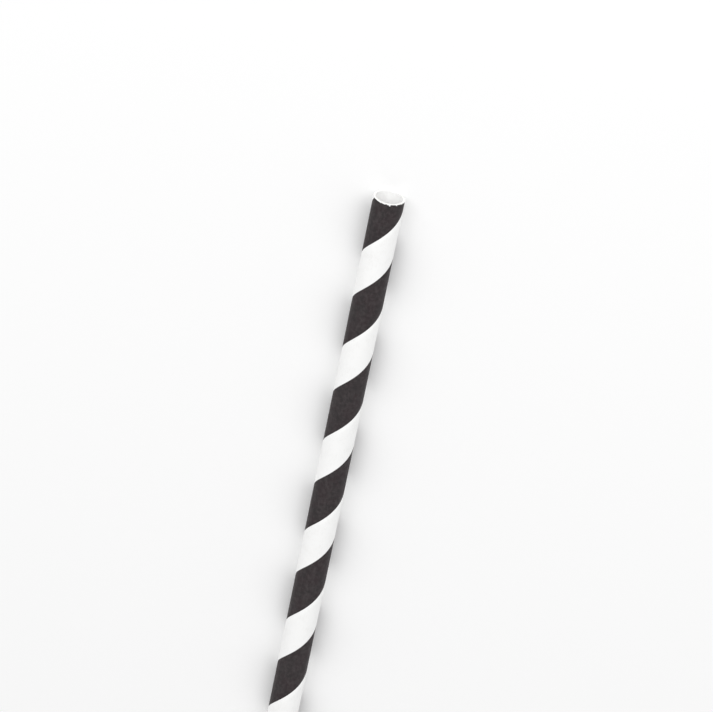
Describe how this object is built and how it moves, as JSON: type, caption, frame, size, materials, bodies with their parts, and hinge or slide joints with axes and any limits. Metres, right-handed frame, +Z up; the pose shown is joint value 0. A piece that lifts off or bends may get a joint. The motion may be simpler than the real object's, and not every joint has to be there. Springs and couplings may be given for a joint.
{
  "type": "paper drinking straw",
  "caption": "Straight spiral-wound paper drinking straw with a black and white helical stripe, open at both square-cut ends.",
  "frame": {"origin": "under the middle of the straw, on the surface that it lies on", "axes": "+X along the straw towards the front end, +Z up"},
  "size_m": [0.197, 0.006, 0.006],
  "materials": {
    "printed_paper": "smooth uncoated white paper, printed with a satin black spiral band"
  },
  "bodies": {
    "root": {"straw": "printed_paper"}
  },
  "joints": []
}
